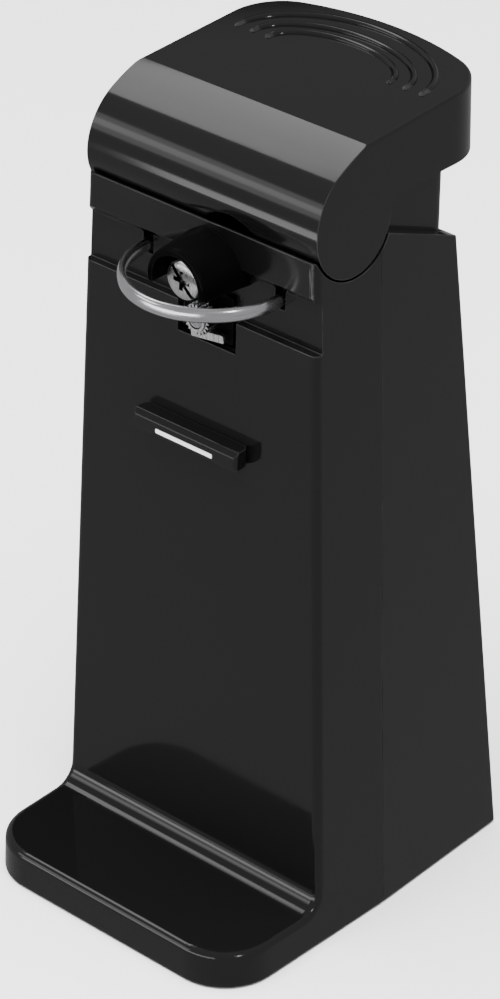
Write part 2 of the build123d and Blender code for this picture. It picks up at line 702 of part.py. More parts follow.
with BuildPart() as lever_hollow:
    lever_slab(LEVER_WALL)
    side_slab([
        (HOLLOW_FRONT_Y, PIVOT_Z + 3),
        (HOLLOW_FRONT_Y, PIVOT_Z - 30),
        (LEVER_REAR_Y - LEVER_WALL, PIVOT_Z - 30),
        (LEVER_REAR_Y - LEVER_WALL, PIVOT_Z + 3),
    ])
    tapered_block(-40, LEVER_REAR_Y + 5, LEVER_WALL - LEVER_SPREAD, mode=Mode.INTERSECT)
    with BuildSketch(Plane.XY.offset(PIVOT_Z - 40)):
        with Locations((0, LEVER_REAR_Y - LEVER_WALL - LEVER_CROWN_R)):
            Circle(LEVER_CROWN_R)
    extrude(amount=90, mode=Mode.INTERSECT)
    fillet(
        [e for e in lever_hollow.edges() if e.center().Y > 40 and abs(e.center().X) > 30 and e.length > 10
         and abs(e.tangent_at(0.5).Z) > 0.9],
        radius=LEVER_CORNER - LEVER_WALL,
    )

with BuildPart() as lever_shell:
    lever_slab(0)
    tapered_block(-40, LEVER_REAR_Y + 5, -LEVER_SPREAD, mode=Mode.INTERSECT)
    with BuildSketch(Plane.XY.offset(PIVOT_Z - 40)):
        with Locations((0, LEVER_REAR_Y - LEVER_CROWN_R)):
            Circle(LEVER_CROWN_R)
    extrude(amount=90, mode=Mode.INTERSECT)
    fillet(
        [e for e in lever_shell.edges() if e.center().Y > 40 and abs(e.center().X) > 30
         and abs(e.tangent_at(0.5).Z) > 0.9],
        radius=LEVER_CORNER,
    )
    fillet(lever_shell.faces().sort_by(Axis.Z)[-1].edges(), radius=LEVER_EDGE)
    add(lever_hollow.part, mode=Mode.SUBTRACT)
    # arch in the nose's lower edge, over the cutter's hood
    rod_y(ARCH_X, ARCH_Z, ARCH_R, PIVOT_Y - NOSE_R - 3, PIVOT_Y, mode=Mode.SUBTRACT)
    # blind bosses on the side walls that turn on the pin
    for side in (-1, 1):
        boss = sorted((side * BOSS_X, side * (PIN_HALF + LEVER_WALL)))
        rod_x(PIVOT_Y, PIVOT_Z, PIN_R + 2.5, *boss)
        bore = sorted((side * (BOSS_X - 1), side * (PIN_HALF + PIN_END_PLAY)))
        rod_x(PIVOT_Y, PIVOT_Z, PIN_R + RUN, *bore, mode=Mode.SUBTRACT)
    # boss under the ceiling that the crank is screwed to
    rod_z(CUT_X, CRANK_SCREW_Y, CRANK_BOSS_R, CRANK_ROOF_Z, CRANK_ROOF_Z + 2)
    screw_hole = CRANK_SCREW_R + 0.01
    rod_z(CUT_X, CRANK_SCREW_Y, screw_hole, CRANK_ROOF_Z - 1, CRANK_ROOF_Z + 1.2, mode=Mode.SUBTRACT)
    # three nested ridges on the rear of the top
    for half, depth in RIDGES:
        for width, height in RIDGE_STEPS:
            outer, inner = width / 2, -width / 2
            with BuildSketch(TOP_PLANE) as ridge:
                with BuildLine():
                    for edge in (outer, inner):
                        EllipticalCenterArc((0, 0), half + edge, depth + edge, start_angle=0, arc_size=180)
                    for end in (-half, half):
                        ThreePointArc((end + outer, 0), (end, inner), (end + inner, 0))
                make_face()
            extrude(ridge.sketch, amount=height)
save(lever_shell.part, "lever_shell")

CRANK_REST = LEVER_TRAVEL / 2
CRANK_PIN_Y = PIVOT_Y + CRANK_R * cos(radians(CRANK_REST))
CRANK_PIN_Z = PIVOT_Z + CRANK_R * sin(radians(CRANK_REST))

with BuildPart() as lever_pin:
    rod_x(PIVOT_Y, PIVOT_Z, PIN_R - 0.01, -PIN_HALF, PIN_HALF)
    chamfer(lever_pin.edges(), length=0.4)
save(lever_pin.part, "lever_pin")

with BuildPart() as lever_crank:
    for side in (-1, 1):
        cheek = CUT_X + side * CHEEK_PITCH
        low_x, high_x = cheek - CHEEK_T / 2, cheek + CHEEK_T / 2
        with BuildSketch(Plane.YZ.offset(low_x)) as cheek_face:
            with BuildLine():
                Polyline(
                    (PIVOT_Y - 5, PIVOT_Z),
                    (PIVOT_Y - 4, CRANK_ROOF_Z - 8),
                    (PIVOT_Y + 4, CRANK_ROOF_Z),
                    (CRANK_PIN_Y + 2, CRANK_ROOF_Z),
                    (CRANK_PIN_Y + 3, CRANK_PIN_Z),
                    (CRANK_PIN_Y, CRANK_PIN_Z - 3),
                    (PIVOT_Y, PIVOT_Z - 5),
                    close=True,
                )
            make_face()
        extrude(cheek_face.sketch, amount=CHEEK_T)
        rod_x(PIVOT_Y, PIVOT_Z, PIN_R + RUN, low_x - 1, high_x + 1, mode=Mode.SUBTRACT)
        rod_x(CRANK_PIN_Y, CRANK_PIN_Z, CRANK_PIN_R + 0.01, low_x - 1, high_x + 1, mode=Mode.SUBTRACT)
    block(
        (CUT_X - CHEEK_PITCH, PIVOT_Y + 4, CRANK_ROOF_Z - 1.5),
        (CUT_X + CHEEK_PITCH, CRANK_PIN_Y + 2, CRANK_ROOF_Z),
    )
    rod_z(CUT_X, CRANK_SCREW_Y, CRANK_SCREW_R + 0.01, CRANK_ROOF_Z - 3, CRANK_ROOF_Z + 1, mode=Mode.SUBTRACT)
save(lever_crank.part, "lever_crank")

with BuildPart() as crank_screw:
    rod_z(CUT_X, CRANK_SCREW_Y, CRANK_SCREW_R, CRANK_ROOF_Z - 2, CRANK_ROOF_Z + 1.1)
    rod_z(CUT_X, CRANK_SCREW_Y, 2 * CRANK_SCREW_R, CRANK_ROOF_Z - 3.1, CRANK_ROOF_Z - 1.5)
save(crank_screw.part, "crank_screw")

with BuildPart() as crank_pin:
    reach = CHEEK_PITCH + CHEEK_T / 2
    rod_x(CRANK_PIN_Y, CRANK_PIN_Z, CRANK_PIN_R, CUT_X - reach, CUT_X + reach)
save(crank_pin.part, "crank_pin")

# ---------------------------------------------------------------- cutter slide
with BuildPart() as cutter_slide:
    # bar up to the crank, with the slot that its pin runs in
    block((CUT_X - BAR_HALF, BAR_Y[0], WEB_Z[0]), (CUT_X + BAR_HALF, BAR_Y[1], CRANK_PIN_Z + 3.5))
    # web under the trough and plate in front that holds the arbor
    block((CUT_X - BAR_HALF, PLATE_Y[0], WEB_Z[0]), (CUT_X + BAR_HALF, BAR_Y[1], WEB_Z[1]))
    block((CUT_X - PLATE_HALF, PLATE_Y[0], PLATE_Z[0]), (CUT_X + PLATE_HALF, PLATE_Y[1], PLATE_Z[1]))
    rod_y(CUT_X, CUT_Z, ARBOR_BOSS_R, ARBOR_BOSS_Y, PLATE_Y[0] + 1)
    rod_y(CUT_X, CUT_Z, ARBOR_R + 0.01, ARBOR_BOSS_Y - 1, PLATE_Y[1] + 1, mode=Mode.SUBTRACT)
    slot = CRANK_PIN_R + 0.35
    block(
        (CUT_X - BAR_HALF - 1, CRANK_PIN_Y - slot, CRANK_PIN_Z - CRANK_PIN_R - 0.12),
        (CUT_X + BAR_HALF + 1, CRANK_PIN_Y + slot, CRANK_PIN_Z + CRANK_PIN_R + 0.12),
        mode=Mode.SUBTRACT,
    )
save(cutter_slide.part, "cutter_slide")

with BuildPart() as cutter_wheel:
    with BuildSketch(Plane.YZ.offset(CUT_X)) as blade:
        with BuildLine():
            Polyline(
                (BLADE_Y[0], CUT_Z + ARBOR_R + RUN),
                (BLADE_Y[1], CUT_Z + ARBOR_R + RUN),
                (BLADE_Y[1], CUT_Z + BLADE_R - 0.05),
                (BLADE_Y[1] - 0.15, CUT_Z + BLADE_R),
                (BLADE_Y[0], CUT_Z + BLADE_R - 1.3),
                close=True,
            )
        make_face()
    revolve(blade.sketch, axis=Axis((CUT_X, 0, CUT_Z), (0, 1, 0)))
save(cutter_wheel.part, "cutter_wheel")

with BuildPart() as cutter_screw:
    rod_y(CUT_X, CUT_Z, SCREW_DISC_R, SCREW_DISC_Y[0], SCREW_DISC_Y[1])
    fillet(cutter_screw.faces().sort_by(Axis.Y)[0].edges(), radius=0.4)
    # driver slot across the head, leaning from upper left to lower right, and a cross recess
    with BuildSketch(Plane.XZ.offset(-SCREW_DISC_Y[0] + 1)) as driver:
        with Locations(Location((CUT_X, CUT_Z), DRIVER_LEAN)):
            Rectangle(2 * SCREW_DISC_R + 2, DRIVER_W)
            Rectangle(CROSS_W, CROSS_SPAN)
    extrude(driver.sketch, amount=-(1 + DRIVER_DEPTH), mode=Mode.SUBTRACT)
    with BuildSketch(Plane.XZ.offset(-SCREW_DISC_Y[0] + 1)) as socket:
        with Locations((CUT_X, CUT_Z)):
            Circle(CROSS_SPAN * 0.36)
    extrude(socket.sketch, amount=-(1 + DRIVER_DEPTH + 0.4), mode=Mode.SUBTRACT)
    rod_y(CUT_X, CUT_Z, ARBOR_R, SCREW_DISC_Y[1], PLATE_Y[1])
save(cutter_screw.part, "cutter_screw")

# ---------------------------------------------------------------- lid bail
with BuildPart() as lid_bail:
    leg_z = BAIL_Z
    with BuildLine() as bail_path:
        Line((BAIL_LEGS[0], BAIL_PIVOT_Y, leg_z), (BAIL_LEGS[0], BAIL_ARC_Y, leg_z))
        ThreePointArc(
            (BAIL_LEGS[0], BAIL_ARC_Y, leg_z),
            (BAIL_X, BAIL_ARC_Y - BAIL_R, leg_z),
            (BAIL_LEGS[1], BAIL_ARC_Y, leg_z),
        )
        Line((BAIL_LEGS[1], BAIL_ARC_Y, leg_z), (BAIL_LEGS[1], BAIL_PIVOT_Y, leg_z))
    leg_end = Plane(origin=(BAIL_LEGS[0], BAIL_PIVOT_Y, leg_z), x_dir=(1, 0, 0), z_dir=(0, -1, 0))
    with BuildSketch(leg_end) as bail_face:
        RectangleRounded(BAIL_T, BAIL_H, BAIL_T * 0.42)
    sweep(bail_face.sketch, path=bail_path.line)
    for x in BAIL_LEGS:
        rod_x(BAIL_PIVOT_Y, BAIL_Z, BAIL_H / 2, x - BAIL_T / 2, x + BAIL_T / 2)
        rod_x(BAIL_PIVOT_Y, BAIL_Z, BAIL_PIN_R + RUN, x - 3, x + 3, mode=Mode.SUBTRACT)
save(lid_bail.part, "lid_bail")

with BuildPart() as bail_pins:
    for x in BAIL_LEGS:
        rod_x(BAIL_PIVOT_Y, BAIL_Z, BAIL_PIN_R - 0.01, x - EAR_PITCH - 1, x + EAR_PITCH + 1)
save(bail_pins.part, "bail_pins")


# ---------------------------------------------------------------- gears
def gear_outline(teeth, module, first_tooth):
    """Points round an involute gear; first_tooth is the angle of one tooth's middle, in degrees."""
    pitch_r = module * teeth / 2
    base_r = pitch_r * cos(radians(PRESSURE_ANGLE))
    tip_r = pitch_r + module * ADDENDUM
    root_r = pitch_r - module * DEDENDUM
    pressure = radians(PRESSURE_ANGLE)
    half_tooth = pi / (2 * teeth) - BACKLASH / (2 * pitch_r)
    points = []
    for tooth in range(teeth):
        middle = radians(first_tooth) + 2 * pi * tooth / teeth
        flank = []
        for step in range(FLANK_STEPS + 1):
            radius = max(base_r, root_r) + (tip_r - max(base_r, root_r)) * step / FLANK_STEPS
            roll = sqrt(max((radius / base_r) ** 2 - 1, 0))
            involute = roll - atan2(roll, 1)
            spread = half_tooth + tan(pressure) - pressure - involute
            flank.append((radius, spread))
        sides = [(root_r, flank[0][1]), *flank] if base_r > root_r + 0.01 else flank
        points += [(r * cos(middle - a), r * sin(middle - a)) for r, a in sides]
        points += [(r * cos(middle + a), r * sin(middle + a)) for r, a in reversed(sides)]
    return points


def gear(x, z, teeth, module, first_tooth, y_near, y_far):
    """A spur gear along Y."""
    with BuildSketch(Plane(origin=(x, y_near, z), x_dir=(1, 0, 0), z_dir=(0, -1, 0))) as face:
        with BuildLine():
            Polyline(*gear_outline(teeth, module, first_tooth), close=True)
        make_face()
    extrude(face.sketch, amount=-(y_far - y_near))


def shaft_hole(z, radius, y_near, y_far):
    rod_y(CUT_X, z, radius, y_near - 1, y_far + 1, mode=Mode.SUBTRACT)


def tooth_over(teeth):
    """The phase that puts a gap straight up, where the gear above has a tooth straight down."""
    return 90 + 180 / teeth


with BuildPart() as feed_wheel:
    gear(CUT_X, FEED_Z, FEED_TEETH, 2 * (FEED_R - 0.3) / FEED_TEETH, 0, FEED_Y[0], FEED_Y[1])
    rod_y(CUT_X, FEED_Z, FEED_R - 1.2, FEED_Y[0] - 0.6, FEED_Y[0] + 1)
    shaft_hole(FEED_Z, SHAFT_R + 0.01, FEED_Y[0] - 1, FEED_Y[1])
save(feed_wheel.part, "feed_wheel")

with BuildPart() as feed_shaft:
    rod_y(CUT_X, FEED_Z, SHAFT_R, FEED_Y[0] - 0.4, REAR_PLATE_Y + PLATE_T + 1)
    chamfer(feed_shaft.edges().filter_by(GeomType.CIRCLE), length=0.3)
save(feed_shaft.part, "feed_shaft")

with BuildPart() as drive_gear:
    gear(CUT_X, FEED_Z, DRIVE_TEETH, COARSE_MODULE, -90, *DRIVE_Y)
    rod_y(CUT_X, FEED_Z, 6, DRIVE_Y[0], DRIVE_Y[1] + 1.5)
    shaft_hole(FEED_Z, SHAFT_R + 0.01, DRIVE_Y[0], DRIVE_Y[1] + 1.5)
    for spoke in range(5):
        angle = radians(72 * spoke + 18)
        hole_x, hole_z = CUT_X + DRIVE_HOLE_PITCH * cos(angle), FEED_Z + DRIVE_HOLE_PITCH * sin(angle)
        rod_y(hole_x, hole_z, DRIVE_HOLE_R, DRIVE_Y[0] - 1, DRIVE_Y[1] + 1, mode=Mode.SUBTRACT)
save(drive_gear.part, "drive_gear")

with BuildPart() as second_gear:
    pinion_y = (SECOND_Y[1] - 0.5, DRIVE_Y[1] + 0.5)
    gear(CUT_X, SECOND_Z, PINION_TEETH, COARSE_MODULE, tooth_over(PINION_TEETH), *pinion_y)
    gear(CUT_X, SECOND_Z, SECOND_TEETH, FINE_MODULE, -90, *SECOND_Y)
    shaft_hole(SECOND_Z, LAY_SHAFT_R + RUN, SECOND_Y[0], DRIVE_Y[1] + 1)
save(second_gear.part, "second_gear")

with BuildPart() as first_gear:
    gear(CUT_X, FIRST_Z, LAY_TEETH, FINE_MODULE, tooth_over(LAY_TEETH), FIRST_Y[1] - 0.5, SECOND_Y[1] + 0.5)
    gear(CUT_X, FIRST_Z, FIRST_TEETH, FINE_MODULE, -90, *FIRST_Y)
    shaft_hole(FIRST_Z, LAY_SHAFT_R + RUN, FIRST_Y[0], SECOND_Y[1] + 1)
save(first_gear.part, "first_gear")

with BuildPart() as lay_shafts:
    for z in (SECOND_Z, FIRST_Z):
        rod_y(CUT_X, z, LAY_SHAFT_R, FRONT_PLATE_Y - 1, REAR_PLATE_Y + PLATE_T + 1)
save(lay_shafts.part, "lay_shafts")

# ---------------------------------------------------------------- gear frame
for name, plate_y, holes in (
    ("gear_plate_front", FRONT_PLATE_Y, [*PLATE_HOLES, (MOTOR_Z, MOTOR_HOLE_FRONT_R)]),
    ("gear_plate_rear", REAR_PLATE_Y, [*PLATE_HOLES, (MOTOR_Z, MOTOR_HOLE_REAR_R)]),
):
    with BuildPart() as plate:
        block((CUT_X - FRAME_HALF, plate_y, FRAME_Z[0]), (CUT_X + FRAME_HALF, plate_y + PLATE_T, FRAME_Z[1]))
        fillet(plate.edges().filter_by(Axis.Y), radius=3)
        for z, radius in holes:
            shaft_hole(z, radius + 0.01, plate_y, plate_y + PLATE_T)
        for x, z in PILLAR_XZ:
            rod_y(x, z, SCREW_R + 0.1, plate_y - 1, plate_y + PLATE_T + 1, mode=Mode.SUBTRACT)
        if name == "gear_plate_rear":
            for x, z in MOTOR_BOLT_XZ:
                rod_y(x, z, SCREW_R + 0.1, plate_y - 1, plate_y + PLATE_T + 1, mode=Mode.SUBTRACT)
    save(plate.part, name)

with BuildPart() as frame_pillars:
    for x, z in PILLAR_XZ:
        rod_y(x, z, 2.8, FRONT_PLATE_Y + PLATE_T, REAR_PLATE_Y)
        rod_y(x, z, SCREW_R, FRONT_PLATE_Y, REAR_PLATE_Y + PLATE_T, mode=Mode.SUBTRACT)
save(frame_pillars.part, "frame_pillars")

with BuildPart() as frame_screws:
    for x, z in PILLAR_XZ:
        for head_y, outward in ((FRONT_PLATE_Y, -1), (REAR_PLATE_Y + PLATE_T, 1)):
            near, far = sorted((head_y, head_y + outward * 1.6))
            rod_y(x, z, 2.5, near, far)
            near, far = sorted((head_y, head_y - outward * 8))
            rod_y(x, z, SCREW_R - 0.1, near, far)
save(frame_screws.part, "frame_screws")

with BuildPart() as shaft_bushes:
    for plate_y in (FRONT_PLATE_Y, REAR_PLATE_Y):
        rod_y(CUT_X, FEED_Z, BUSH_R, plate_y - 1, plate_y + PLATE_T + 1)
        shaft_hole(FEED_Z, SHAFT_R + RUN, plate_y, plate_y + PLATE_T + 1)
save(shaft_bushes.part, "shaft_bushes")

# ---------------------------------------------------------------- motor
with BuildPart() as motor_stator:
    block(
        (CUT_X - STATOR_HALF, STATOR_Y[0], MOTOR_Z - STATOR_DROP),
        (CUT_X + STATOR_HALF, STATOR_Y[1], MOTOR_Z + STATOR_RISE),
    )
    fillet(motor_stator.edges().filter_by(Axis.Y), radius=2)
    # bore for the rotor and the two windows that the coil fills
    shaft_hole(MOTOR_Z, ROTOR_R + 0.5, *STATOR_Y)
    for side in (-1, 1):
        near, far = sorted((CUT_X + side * WINDOW_X[0], CUT_X + side * WINDOW_X[1]))
        block((near, STATOR_Y[0] - 1, WINDOW_Z[0]), (far, STATOR_Y[1] + 1, WINDOW_Z[1]), mode=Mode.SUBTRACT)
    for x, z in MOTOR_BOLT_XZ:
        rod_y(x, z, SCREW_R + 0.1, STATOR_Y[0] - 1, STATOR_Y[1] + 1, mode=Mode.SUBTRACT)
save(motor_stator.part, "motor_stator")

with BuildPart() as motor_coil:
    block(
        (CUT_X - WINDOW_X[1] + 0.1, STATOR_Y[0] - COIL_PROUD, WINDOW_Z[0] + 0.1),
        (CUT_X + WINDOW_X[1] - 0.1, STATOR_Y[1] + COIL_PROUD, WINDOW_Z[1] - 0.1),
    )
    fillet(motor_coil.edges().filter_by(Axis.Z), radius=3)
    block(
        (CUT_X - WINDOW_X[0] - 0.05, STATOR_Y[0] - 0.05, WINDOW_Z[0] - 1),
        (CUT_X + WINDOW_X[0] + 0.05, STATOR_Y[1] + 0.05, WINDOW_Z[1] + 1),
        mode=Mode.SUBTRACT,
    )
save(motor_coil.part, "motor_coil")

with BuildPart() as motor_bridge:
    block(
        (CUT_X - STATOR_HALF, BRIDGE_Y, MOTOR_Z - 6),
        (CUT_X + STATOR_HALF, BRIDGE_Y + PLATE_T, MOTOR_Z + 6),
    )
    fillet(motor_bridge.edges().filter_by(Axis.Y), radius=3)
    rod_y(CUT_X, MOTOR_Z, 5, BRIDGE_Y, BRIDGE_Y + 3)
    shaft_hole(MOTOR_Z, MOTOR_SHAFT_R + RUN, BRIDGE_Y, BRIDGE_Y + 3)
    for x, z in MOTOR_BOLT_XZ:
        rod_y(x, z, SCREW_R + 0.1, BRIDGE_Y - 1, BRIDGE_Y + 3, mode=Mode.SUBTRACT)
save(motor_bridge.part, "motor_bridge")

with BuildPart() as motor_spacers:
    for x, z in MOTOR_BOLT_XZ:
        for near, far in ((REAR_PLATE_Y + PLATE_T, STATOR_Y[0]), (STATOR_Y[1], BRIDGE_Y)):
            rod_y(x, z, 2.6, near, far)
            rod_y(x, z, SCREW_R + 0.1, near - 0.1, far + 0.1, mode=Mode.SUBTRACT)
save(motor_spacers.part, "motor_spacers")

with BuildPart() as motor_bolts:
    for x, z in MOTOR_BOLT_XZ:
        rod_y(x, z, SCREW_R, REAR_PLATE_Y - 2, BRIDGE_Y + PLATE_T)
        rod_y(x, z, 2.6, BRIDGE_Y + PLATE_T, BRIDGE_Y + PLATE_T + 2)
save(motor_bolts.part, "motor_bolts")

with BuildPart() as rotor:
    rod_y(CUT_X, MOTOR_Z, ROTOR_R, STATOR_Y[0] + 0.5, STATOR_Y[1] - 0.5)
    for ring_y in (STATOR_Y[0] - 1.5, STATOR_Y[1] - 0.5):
        rod_y(CUT_X, MOTOR_Z, ROTOR_R - 1.5, ring_y, ring_y + 2)
    shaft_hole(MOTOR_Z, MOTOR_SHAFT_R + 0.01, STATOR_Y[0] - 2, STATOR_Y[1] + 2)
save(rotor.part, "rotor")

with BuildPart() as motor_shaft:
    rod_y(CUT_X, MOTOR_Z, MOTOR_SHAFT_R, FIRST_Y[0] - 2, BRIDGE_Y + 4)
save(motor_shaft.part, "motor_shaft")

with BuildPart() as motor_pinion:
    gear(CUT_X, MOTOR_Z, PINION_TEETH, FINE_MODULE, tooth_over(PINION_TEETH), FIRST_Y[0] - 1, FIRST_Y[1] + 1)
    shaft_hole(MOTOR_Z, MOTOR_SHAFT_R + 0.01, FIRST_Y[0] - 1, FIRST_Y[1] + 1)
save(motor_pinion.part, "motor_pinion")

with BuildPart() as motor_bush:
    rod_y(CUT_X, MOTOR_Z, 5.0, REAR_PLATE_Y, REAR_PLATE_Y + PLATE_T)
    shaft_hole(MOTOR_Z, MOTOR_SHAFT_R + RUN, REAR_PLATE_Y, REAR_PLATE_Y + PLATE_T)
save(motor_bush.part, "motor_bush")

# ---------------------------------------------------------------- switch
with BuildPart() as switch_body:
    block(
        (SWITCH_X - 10, SWITCH_Y - 3.2, NECK_TOP_Z - WALL - 14),
        (SWITCH_X + 10, SWITCH_Y + 3.2, NECK_TOP_Z - WALL - 4),
    )
    fillet(switch_body.edges().filter_by(Axis.Y), radius=0.8)
    rod_z(SWITCH_X, SWITCH_Y, PLUNGER_R - 0.6, NECK_TOP_Z - WALL - 8, NECK_TOP_Z, mode=Mode.SUBTRACT)
save(switch_body.part, "switch_body")

with BuildPart() as switch_plunger:
    rod_z(SWITCH_X, SWITCH_Y, PLUNGER_R, NECK_TOP_Z - WALL - 0.6, PLUNGER_TOP_Z)
    fillet(switch_plunger.edges().filter_by(GeomType.CIRCLE).sort_by(Axis.Z)[-1], radius=1.2)
    rod_z(SWITCH_X, SWITCH_Y, PLUNGER_R - 0.7, NECK_TOP_Z - WALL - 5.4, NECK_TOP_Z)
save(switch_plunger.part, "switch_plunger")
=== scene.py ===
import json
import math

import bmesh
import bpy
from mathutils import Matrix, Vector


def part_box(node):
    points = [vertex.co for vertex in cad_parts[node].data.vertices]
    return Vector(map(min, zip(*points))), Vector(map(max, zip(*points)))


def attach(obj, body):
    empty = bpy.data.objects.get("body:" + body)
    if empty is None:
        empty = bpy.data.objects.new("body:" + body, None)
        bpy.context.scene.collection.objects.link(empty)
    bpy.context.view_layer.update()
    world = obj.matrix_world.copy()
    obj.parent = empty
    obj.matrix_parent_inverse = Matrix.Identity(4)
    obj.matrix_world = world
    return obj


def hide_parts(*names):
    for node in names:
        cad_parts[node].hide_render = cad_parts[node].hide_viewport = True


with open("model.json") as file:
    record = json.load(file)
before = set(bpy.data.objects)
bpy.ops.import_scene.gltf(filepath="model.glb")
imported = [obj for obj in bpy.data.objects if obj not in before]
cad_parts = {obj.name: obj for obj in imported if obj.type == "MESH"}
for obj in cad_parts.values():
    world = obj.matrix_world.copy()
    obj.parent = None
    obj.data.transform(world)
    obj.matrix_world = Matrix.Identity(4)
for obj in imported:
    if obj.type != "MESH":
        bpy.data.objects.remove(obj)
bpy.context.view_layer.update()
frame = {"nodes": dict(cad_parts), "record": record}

MM = 0.001

# ---------------------------------------------------------------- dimensions, in mm unless named otherwise
CAMERA_AT = (605.5, -688.05, 668.7)
CAMERA_AIM = (-19.47, 24.16, 98.1)
CAMERA_ROLL = math.radians(0.779)
LENS = 139.6
SENSOR = 36.0
CLIP_END = 100.0  # metres

TOP_Z = 237.93  # the lever's top at the seam
TOP_SLOPE = 0.055
SEAM_Y = 5.45
RIDGE_START_Y = 31.0
RIDGES = ((32.2, 21.5), (26.7, 15.2), (21.2, 11.0))  # half width and depth of each arc
RIDGE_HALF = 1.05
RIDGE_RISE = 0.95
RIDGE_SINK = 0.25
RIDGE_STEPS = 72
RIDGE_TAPER_STEPS = 5  # a ridge's ends close in a quarter round over this many steps
RIDGE_TIP = 0.08  # size of a ridge's very end, as a share of its middle
RIDGE_OUTLINE_STEPS = 16

BAIL_PIVOT_Y = -12.9
BAIL_ARC_Y = -18.6
BAIL_THICKNESS = 2.4
BAIL_HALF_ACROSS = 1.25
BAIL_HALF_UP = 2.1
BAIL_SQUARENESS = 2.3
BAIL_LEG_STEPS = 5
BAIL_ARC_STEPS = 48
BAIL_OUTLINE_STEPS = 24

SCREW_HEAD_T = 3.2
SCREW_DOME = ((1.6, 0.02), (3.2, 0.10), (4.4, 0.22))  # distance from the axis, and depth behind the face
# Inset from the disc's edge, and depth behind the face.
SCREW_RIM = ((0.5, 0.36), (0.12, 0.62), (0.0, 1.0), (0.0, 2.6), (0.15, 3.0), (0.5, SCREW_HEAD_T))
SHANK_R = 2.0
SCREW_STEPS = 64
SCREW_SHARP_ANGLE = math.radians(30)
GROOVE_DEPTH = 1.6
SCREW_GROOVES = ((13.0, 1.2, -48.0), (5.6, 1.3, -3.0), (5.6, 1.3, 87.0))  # length, width, lean in degrees

# ---------------------------------------------------------------- studio, in metres and watts
FLOOR_HALF = 4.0
WORLD_STRENGTH = 0.36
STUDIO_MIDDLE = Vector((0, 0, 0.12))
# Each softbox: its direction from the middle, distance, size and power.
KEY = ((0.05, -0.15, 1.0), 2.2, (2.2, 2.2), 260.0)
OVERHEAD = ((-0.565, 0.092, 0.82), 1.3, (0.80, 0.26), 2.1)
RIM = ((0.80, -0.33, 0.46), 1.2, (0.12, 0.30), 1.6)
LOW_FRONT = ((-0.05, -0.45, -0.06), 0.457, (0.60, 0.11), 0.75)
BAND_ASIDE = (-0.565, -0.70)
BAND_DISTANCE = 1.4
BAND_SIZE = (0.7, 0.17)
BANDS = ((0.46, 0.45), (0.34, 0.95), (0.22, 0.45))  # how high each strip's direction points, and its power
# Each flag: its place, the point that it faces, its size and brightness.
FOOT_FLAG = ((-0.19, 0.166, 0.223), (0.0, -0.04, 0.015), (0.26, 0.22), 0.0)
LEVER_FLAG = ((-0.35, 0.45, 0.50), (0.0, 0.03, 0.239), (0.42, 0.30), 0.21)

# ---------------------------------------------------------------- shader settings
BEVEL_SAMPLES = 6
OCCLUSION_SAMPLES = 8
NOISE_MIDDLE = (0.3, 0.7)  # most of a noise's values
MIX_FACTOR, MIX_A, MIX_B, MIX_RESULT = 0, 6, 7, 2  # sockets of a colour Mix node
PLASTIC_EDGE = 0.5 * MM
METAL_EDGE = 0.3 * MM
FINE_GRAIN = 0.02 * MM  # depth of the grain on plastic and metal
HAIRLINE_DULLING = 0.05
EDGE_DULLING = 0.10
SMUDGE_DULLING = 0.09
# Painted shade: how dark the colour of metal grows in occluded grooves and corners, as a share of its colour.
PAINTED_CREVICE_SHADE = 0.06


